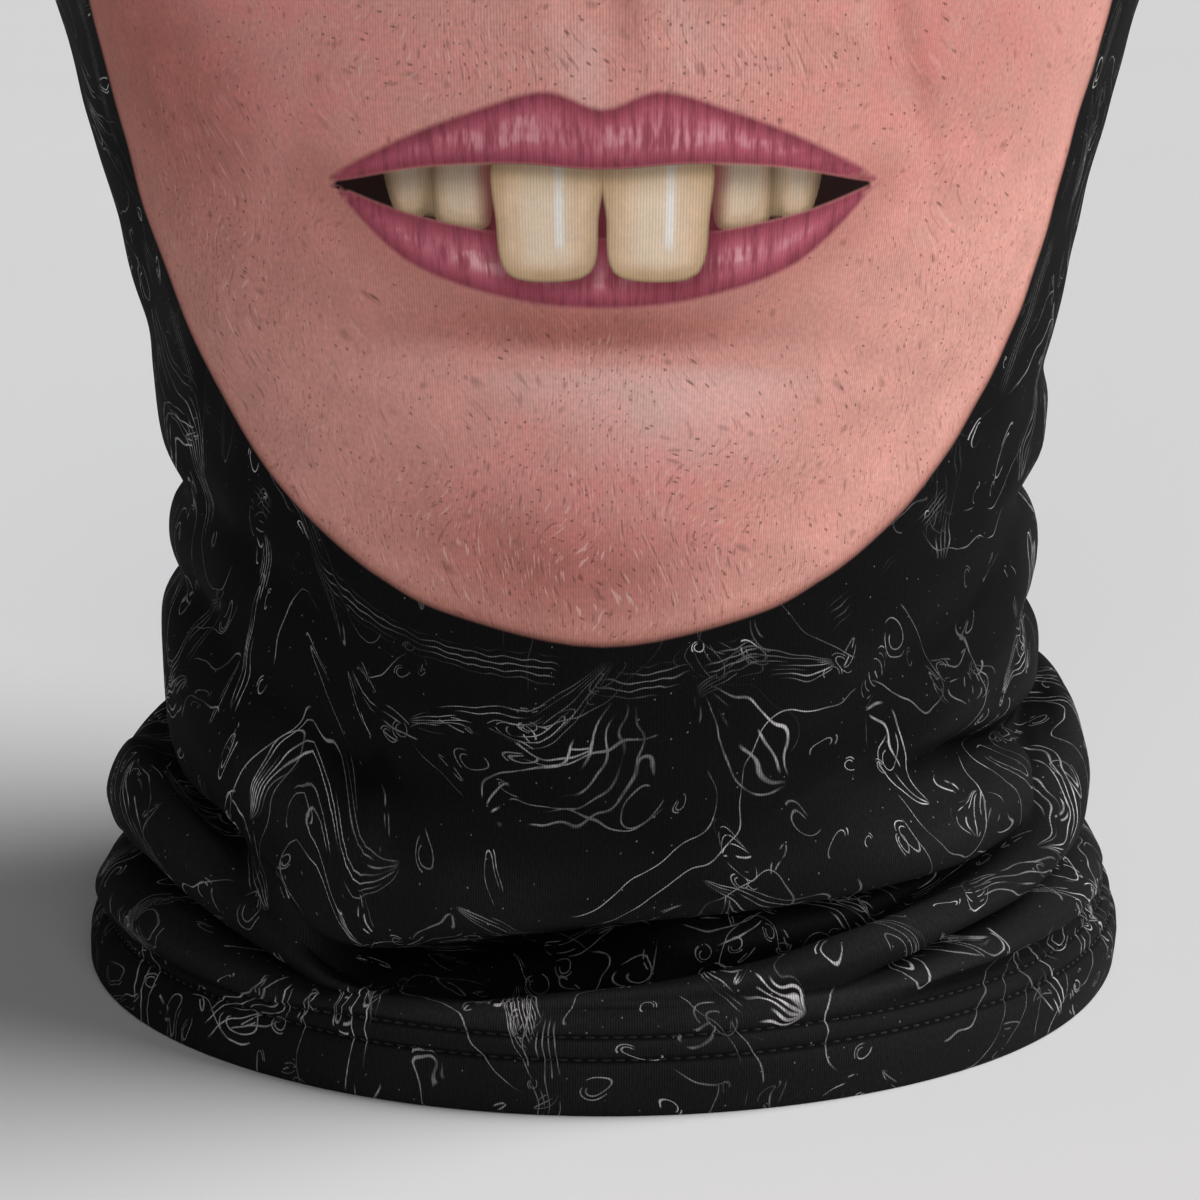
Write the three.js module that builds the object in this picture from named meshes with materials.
// Printed knit neck tube worn as a face mask, standing open and empty on its own slumped hem.
// Millimetres, Z up. The front faces -Y. A direction is degrees round from the front, positive towards +X.
import * as THREE from 'three';

// The oval that the bottom hem stands on, and the cloth
const FOOT_HALF_WIDTH = 77;
const FOOT_HALF_DEPTH = 82;
const CLOTH_THICK = 1.0;
const HEM_THICK = 2.0;
const HEM_DEPTH = 12;
const HEM_ROWS = 4;
const FULL_HEIGHT = 200;

// How finely the tube is faceted: columns round the front half and round the back half
const FRONT_COLUMNS = 30;
const BACK_COLUMNS = 18;

// Colour and finish of the cloth
const CLOTH_COLOR = 0x1b1b1c;
const CLOTH_ROUGHNESS = 0.9;

// The tube's shape from the table up, as lines that run right round it. Each stop is a direction, how far the
// cloth stands out from the foot oval there, and its height. rows is the number of facet rows up to the next line.
const LINES = [
  { name: 'hem edge', rows: 2, stops: [[-60, 0, 0], [0, 0.8, 0], [40, 1, 0], [80, 0, 0], [180, 0, 0]] },
  { name: 'hem swell', rows: 1,
    stops: [[-90, -0.3, 4.8], [-50, 0, 4.6], [0, 1.8, 6], [40, 1.8, 6], [90, 0.2, 6], [180, 0.8, 6.5]] },
  { name: 'hem dip', rows: 1,
    stops: [[-90, -1.8, 8.6], [-66, -3, 8.8], [-50, -3, 9], [-36, -1, 9.6], [-22, 0.6, 10], [0, 1, 11.4],
      [24, 0, 11.8], [45, -1.2, 12.6], [65, -1.6, 12.8], [90, -1.8, 12], [180, -0.8, 12]] },
  { name: 'lower roll', rows: 1,
    stops: [[-90, -2, 11.8], [-74, 0, 13.4], [-58, 1.2, 14.4], [-48, 1.1, 13.4], [-38, 0.6, 12.4],
      [-30, 0.4, 11.6], [-20, 0.3, 11.8], [0, 0.5, 13.4], [14, 0.4, 13.2], [25, 0.5, 12.9], [40, 1, 14.6],
      [60, 0.8, 15.6], [75, -0.6, 15.4], [90, -1.8, 15], [180, 0, 16]] },
  { name: 'lower roll top', rows: 1,
    stops: [[-90, -3.4, 13.8], [-74, -2, 16.6], [-58, -1.6, 17.2], [-48, -1.4, 15.4], [-38, -1.2, 13.6],
      [-30, -0.6, 12.2], [-20, -0.1, 12.3], [0, 0.2, 14.1], [14, 0.1, 13.9], [25, -0.2, 13.6],
      [40, -1.6, 16], [60, -2, 18.4], [75, -3, 19], [90, -4, 18.4], [180, -2, 19.4]] },
  { name: 'groove floor', rows: 1,
    stops: [[-90, -6, 15], [-76, -7.6, 18.4], [-62, -8.2, 18.6], [-53, -8, 17.2], [-44, -7, 15.4],
      [-36, -5, 14], [-29, -2.2, 12.5], [-20, -0.4, 12.6], [0, 0, 14.5], [15, -0.1, 14.3], [24, -0.8, 14.1],
      [32, -3.4, 15.2], [40, -7.4, 16.8], [54, -9.8, 18.4], [64, -10.8, 19.6], [78, -10.4, 20.6],
      [90, -9.2, 20.2], [180, -7.2, 22.4]] },
  { name: 'groove roof', rows: 1,
    stops: [[-90, -6, 16.4], [-76, -7.6, 20.6], [-62, -8.2, 20.8], [-53, -8, 19], [-44, -7, 17.2],
      [-36, -5, 15.2], [-29, -2.4, 13], [-20, -0.7, 12.9], [0, -0.1, 15], [15, -0.3, 14.8], [24, -1, 14.9],
      [32, -3.4, 16.6], [40, -7.4, 18.4], [54, -9.8, 20.2], [64, -10.8, 21.6], [78, -10.4, 22.4],
      [90, -9.2, 21.8], [180, -7.2, 24.4]] },
  { name: 'upper roll underside', rows: 2,
    stops: [[-90, -4.2, 17.8], [-76, -4, 22.4], [-62, -3.4, 23], [-53, -3.2, 20.8], [-44, -3, 18.4],
      [-36, -2.7, 16], [-29, -2.4, 13.4], [-20, -1.2, 13.1], [0, -0.4, 15.5], [15, -0.4, 15.3],
      [24, -0.8, 15.6], [32, -2, 17], [40, -2.4, 19], [54, -2.4, 21.4], [64, -2.8, 23.2], [76, -5, 24.6],
      [90, -7.4, 24.2], [180, -3.6, 27]] },
  { name: 'upper roll', rows: 2,
    stops: [[-90, -3, 23.8], [-74, -1.6, 28.6], [-64, -0.6, 30.4], [-56, -0.5, 29], [-50, -0.6, 26],
      [-44, -0.8, 23], [-38, -1, 20.2], [-33, -1.4, 17], [-29, -1.9, 14.4], [-23, -1.8, 13.3],
      [-15, -1.4, 13.4], [-6, -1.1, 15.1], [2, -1, 16.3], [10, -1, 16.8], [17, -0.9, 17.6], [28, -0.6, 19],
      [38, -0.3, 20.8], [46, -0.1, 22.4], [55, -0.2, 25], [62, -0.8, 28], [70, -2, 30.8], [80, -4.2, 32.6],
      [90, -6, 33.8], [180, -2, 33]] },
  { name: 'upper roll shoulder', rows: 2,
    stops: [[-90, -6.6, 31.4], [-76, -5.2, 34.8], [-66, -4.4, 35.2], [-58, -4.2, 32.8], [-50, -4.2, 29.2],
      [-45, -3.6, 26.4], [-40, -2.6, 23.8], [-35, -2.2, 19.8], [-31, -3, 15.6], [-27, -5, 12.8],
      [-16, -5, 12.8], [-6, -4.8, 14.6], [4, -4.6, 16], [17, -4.2, 18.3], [28, -3.6, 21.2],
      [38, -3.2, 23.2], [46, -3, 24.8], [54, -2.8, 27], [60, -2.6, 31], [68, -4, 35.2], [80, -7, 39],
      [90, -8.6, 41], [180, -7, 40]] },
  { name: 'inner dip', rows: 2,
    stops: [[-90, -10.6, 32.2], [-76, -10.2, 33], [-66, -9.4, 32], [-58, -9, 29.6], [-50, -8.4, 27.4],
      [-45, -6, 26.6], [-40, -3.3, 25.4], [-35, -2.4, 21.4], [-31.5, -5, 15.2], [-26, -11, 11.8],
      [-14, -12.4, 11], [0, -13, 12], [12, -12.4, 14.6], [20, -11.6, 16], [28, -10.6, 17.6],
      [38, -9.8, 20.8], [46, -9, 23.8], [52, -7.8, 26], [57, -5, 29.6], [62, -5.4, 34.2], [70, -8.6, 36.4],
      [82, -11.4, 38], [90, -12, 40.4], [180, -12, 43]] },
  { name: 'inner fold', rows: 2,
    stops: [[-90, -14.2, 33], [-76, -13.8, 33], [-66, -12.8, 31.6], [-58, -12, 30], [-50, -11, 28.8],
      [-45, -7.4, 28.4], [-40, -3.6, 27], [-35, -2.4, 23], [-31, -7, 16.8], [-25, -16, 14], [-8, -20, 14.6],
      [4, -17, 17], [12, -12, 19.4], [20, -9.2, 21], [28, -8.2, 22.2], [36, -8.2, 23.8], [43, -8.4, 25.2],
      [49, -8.2, 26.8], [54, -7, 28.6], [58, -5.6, 31.4], [63, -8, 34.8], [71, -12, 35.6], [82, -14, 37],
      [90, -13.6, 40.6], [180, -14.6, 46]] },
  { name: 'pocket', rows: 2,
    stops: [[-90, -14.8, 36.4], [-76, -13.8, 35], [-66, -12.8, 33.6], [-58, -12.2, 32.4],
      [-50, -10.8, 31.8], [-45, -7.2, 31], [-40, -3.5, 29], [-35, -2.3, 24.8], [-30.5, -6.6, 18.8],
      [-25, -13, 17.6], [-6, -17, 20], [10, -15.6, 22.8], [22, -14, 24.2], [34, -12, 25.6], [44, -10, 27],
      [50, -8, 28.6], [55, -5.4, 30.4], [59, -6, 32.8], [64, -10.4, 35.2], [72, -14.4, 36], [82, -15.4, 38],
      [90, -14.4, 42.4], [180, -14, 49]] },
  { name: 'cowl edge', rows: 2,
    stops: [[-90, -13.6, 41.4], [-76, -12, 38.4], [-66, -9.8, 36], [-58, -8, 34.6], [-50, -6.6, 34.2],
      [-44, -4.6, 33], [-38, -2.5, 30], [-32, -2.6, 22.8], [-27, -3.2, 20.8], [-19, -3.4, 22.6],
      [-10, -3.3, 24.8], [0, -3.2, 26.4], [12, -3.1, 27], [28, -3, 27.6], [42, -3, 28.6], [49, -3.4, 29.8],
      [55, -3.8, 32], [60, -6.6, 35], [66, -12, 36.4], [74, -15.2, 37.4], [82, -15.4, 40],
      [90, -14.4, 44.4], [180, -10.6, 54]] },
  { name: 'cowl swell', rows: 2,
    stops: [[-90, -12.4, 50], [-76, -10.8, 46.6], [-60, -7.2, 44], [-45, -3.2, 39.4], [-32, -1.4, 27.6],
      [-15, -0.9, 28.2], [0, -1.1, 30.6], [18, -1.2, 31], [36, -1.6, 31.8], [46, -2.6, 33.8],
      [54, -4.4, 36.6], [60, -7, 37.4], [66, -11.8, 37.8], [75, -14.6, 39.2], [90, -13.8, 47.2],
      [180, -10.4, 60]] },
  { name: 'side crease', rows: 2,
    stops: [[-90, -12.2, 55], [-60, -7.8, 52], [-40, -3.6, 45], [-20, -2.4, 36], [0, -1.8, 36],
      [18, -2.2, 36.6], [30, -4.6, 41.4], [40, -8.6, 42.2], [48, -12, 41.6], [56, -13.6, 40.4],
      [64, -14, 39.4], [72, -14.2, 40], [80, -13.8, 43], [90, -13.6, 50], [180, -11, 63]] },
  { name: 'side ridge', rows: 2,
    stops: [[-90, -12.6, 58.4], [-60, -8.2, 58], [-40, -4.4, 52], [-20, -3, 43], [0, -2, 43],
      [20, -2.8, 43], [34, -4.4, 46.6], [46, -6.6, 46.8], [58, -8.8, 45.6], [70, -10.8, 45.2],
      [80, -12, 48], [90, -13, 53.4], [180, -11.8, 67]] },
  { name: 'throat', rows: 3,
    stops: [[-90, -12.8, 62.6], [-60, -9, 63], [-36, -4.8, 60], [-15, -3, 54], [0, -2, 53], [25, -2.8, 53],
      [42, -5.4, 53.6], [58, -8.8, 53], [75, -11.6, 54.4], [90, -13.4, 58.8], [180, -12, 72]] },
  { name: 'neck', rows: 4, stops: [[-90, -12.6, 76], [0, -0.5, 70], [90, -12.2, 75], [180, -12, 84]] },
  { name: 'chin', rows: 4, stops: [[-90, -11, 92], [0, 3, 90], [90, -11.2, 92], [180, -7, 98]] },
  { name: 'jaw', rows: 3, stops: [[-90, -7, 112], [0, 7, 112], [90, -7.6, 112], [180, 0, 118]] },
  { name: 'cheek', rows: 3, stops: [[-90, -1.8, 132], [0, 9.4, 132], [90, -3.4, 132], [180, 6, 136]] },
  { name: 'widest', rows: 3, stops: [[-90, 5.2, 158], [0, 11, 158], [90, 4.4, 160], [180, 10, 158]] },
  { name: 'brow side', rows: 2, stops: [[-90, 5.4, 180], [0, 11, 182], [90, 5.4, 180], [180, 10, 176]] },
  { name: 'top edge', rows: 0,
    stops: [[-90, 2.2, 196], [0, 6.5, FULL_HEIGHT], [90, 1.8, 196], [180, 5, 192]] },
];

// Gathers pressed into the neck at the sides: a direction, a height, how deep, how tall and how far round
const GATHERS = [
  { toward: -92, height: 61, depth: 3.6, tall: 3.2, round: 30 },
  { toward: -92, height: 74, depth: 4.4, tall: 3.8, round: 28 },
  { toward: -95, height: 97, depth: 1.6, tall: 4.5, round: 24 },
  { toward: -24, height: 42, depth: 1.7, tall: 7, round: 13 },
  { toward: 92, height: 57, depth: 4, tall: 3, round: 24 },
  { toward: 92, height: 73.5, depth: 5.2, tall: 3.6, round: 28 },
  { toward: 95, height: 92, depth: 2.4, tall: 4.2, round: 26 },
  { toward: 34, height: 47, depth: 1.2, tall: 4.5, round: 13 },
  { toward: 168, height: 66, depth: 2.6, tall: 4, round: 30 },
  { toward: -160, height: 80, depth: 2.8, tall: 4, round: 34 },
  { toward: 172, height: 96, depth: 2, tall: 4.5, round: 34 },
];

const toRadians = THREE.MathUtils.degToRad;

// The smooth value between two stops, with slopes that never overshoot them
function between(a, b, slopeA, slopeB, span, part) {
  const p2 = part * part;
  const p3 = p2 * part;
  return (2 * p3 - 3 * p2 + 1) * a + (p3 - 2 * p2 + part) * slopeA * span
    + (3 * p2 - 2 * p3) * b + (p3 - p2) * slopeB * span;
}

function slopeAt(before, here, after, spanBefore, spanAfter) {
  const rise = (here - before) / spanBefore;
  const next = (after - here) / spanAfter;
  if (rise * next <= 0) return 0;
  return 2 * rise * next / (rise + next);
}

// One quantity of a line (1 is the stand-out, 2 is the height) in a direction, going right round
function alongLine(stops, direction, which) {
  const count = stops.length;
  if (count === 1) return stops[0][which];
  const stop = (i) => {
    const turn = Math.floor(i / count);
    const s = stops[i - turn * count];
    return [s[0] + 360 * turn, s[which]];
  };
  let i = 0;
  let d = direction;
  while (d < stop(0)[0]) d += 360;
  while (stop(i + 1)[0] <= d) i += 1;
  const [a0, a] = stop(i - 1);
  const [b0, b] = stop(i);
  const [c0, c] = stop(i + 1);
  const [d0, e] = stop(i + 2);
  const slopeB = slopeAt(a, b, c, b0 - a0, c0 - b0);
  const slopeC = slopeAt(b, c, e, c0 - b0, d0 - c0);
  return between(b, c, slopeB, slopeC, c0 - b0, (d - b0) / (c0 - b0));
}

function apart(a, b) {
  return Math.abs(((a - b) % 360 + 540) % 360 - 180);
}

function gatherDepth(direction, height) {
  let depth = 0;
  for (const g of GATHERS) {
    const u = apart(direction, g.toward) / g.round;
    const v = (height - g.height) / g.tall;
    depth += g.depth * Math.exp(-u * u - v * v);
  }
  return depth;
}

// The cloth's middle surface in one direction, from the table up: [stand-out, height] at every facet row
function profile(direction) {
  const corners = LINES.map((line) => new THREE.Vector3(
    alongLine(line.stops, direction, 1), alongLine(line.stops, direction, 2), 0));
  const curve = new THREE.CatmullRomCurve3(corners, false, 'centripetal');
  const places = [];
  LINES.forEach((line, i) => {
    for (let r = 0; r < line.rows; r += 1) places.push((i + r / line.rows) / (LINES.length - 1));
  });
  places.push(1);
  return places.map((place) => {
    const p = curve.getPoint(place);
    return [p.x - gatherDepth(direction, p.y), p.y];
  });
}

// A point out from the foot oval, square to it
function placed(direction, out, height) {
  const s = Math.sin(toRadians(direction));
  const c = Math.cos(toRadians(direction));
  const facing = new THREE.Vector2(s * FOOT_HALF_DEPTH, -c * FOOT_HALF_WIDTH).normalize();
  return new THREE.Vector3(
    FOOT_HALF_WIDTH * s + facing.x * out, -FOOT_HALF_DEPTH * c + facing.y * out, height);
}

function directions() {
  const list = [];
  for (let i = 0; i < FRONT_COLUMNS; i += 1) list.push(-90 + 180 * i / FRONT_COLUMNS);
  for (let i = 0; i < BACK_COLUMNS; i += 1) list.push(90 + 180 * i / BACK_COLUMNS);
  return list;
}

// The wall: doubled where the cloth is turned up at the two hems
function wallAt(row, height, topHeight) {
  const inHem = row < HEM_ROWS || topHeight - height < HEM_DEPTH;
  return inHem ? HEM_THICK : CLOTH_THICK;
}

// The closed shell: an outer and an inner skin a wall apart, joined at the two hem edges
function clothGeometry() {
  const around = directions();
  const middle = around.map((d) => profile(d).map(([out, up]) => placed(d, out, up)));
  const columns = around.length;
  const rows = middle[0].length;
  const skins = [[], []];
  const along = new THREE.Vector3();
  const upward = new THREE.Vector3();
  for (let c = 0; c < columns; c += 1) {
    const topHeight = middle[c][rows - 1].z;
    for (let r = 0; r < rows; r += 1) {
      const here = middle[c][r];
      along.subVectors(middle[(c + 1) % columns][r], middle[(c + columns - 1) % columns][r]);
      upward.subVectors(middle[c][Math.min(r + 1, rows - 1)], middle[c][Math.max(r - 1, 0)]);
      if (r === 0 || r === rows - 1) upward.set(0, 0, 1);
      const outward = new THREE.Vector3().crossVectors(along, upward).normalize();
      const half = wallAt(r, here.z, topHeight) / 2;
      skins[0].push(here.clone().addScaledVector(outward, half));
      skins[1].push(here.clone().addScaledVector(outward, -half));
    }
  }
  const positions = [...skins[0], ...skins[1]].flatMap((p) => [p.x, p.y, p.z]);
  const inner = columns * rows;
  const index = [];
  const quad = (a, b, c, d) => index.push(a, b, c, a, c, d);
  for (let c = 0; c < columns; c += 1) {
    const a = c * rows;
    const b = ((c + 1) % columns) * rows;
    for (let r = 0; r < rows - 1; r += 1) {
      quad(a + r, b + r, b + r + 1, a + r + 1);
      quad(inner + a + r, inner + a + r + 1, inner + b + r + 1, inner + b + r);
    }
    quad(a, inner + a, inner + b, b);
    quad(a + rows - 1, b + rows - 1, inner + b + rows - 1, inner + a + rows - 1);
  }
  const geometry = new THREE.BufferGeometry();
  geometry.setAttribute('position', new THREE.Float32BufferAttribute(positions, 3));
  geometry.setIndex(index);
  geometry.computeVertexNormals();
  return geometry;
}

function knitTube() {
  const material = new THREE.MeshStandardMaterial(
    { color: CLOTH_COLOR, roughness: CLOTH_ROUGHNESS, metalness: 0 });
  const mesh = new THREE.Mesh(clothGeometry(), material);
  mesh.name = 'knit_tube';
  return mesh;
}

const group = new THREE.Group();
group.add(knitTube());

export default group;
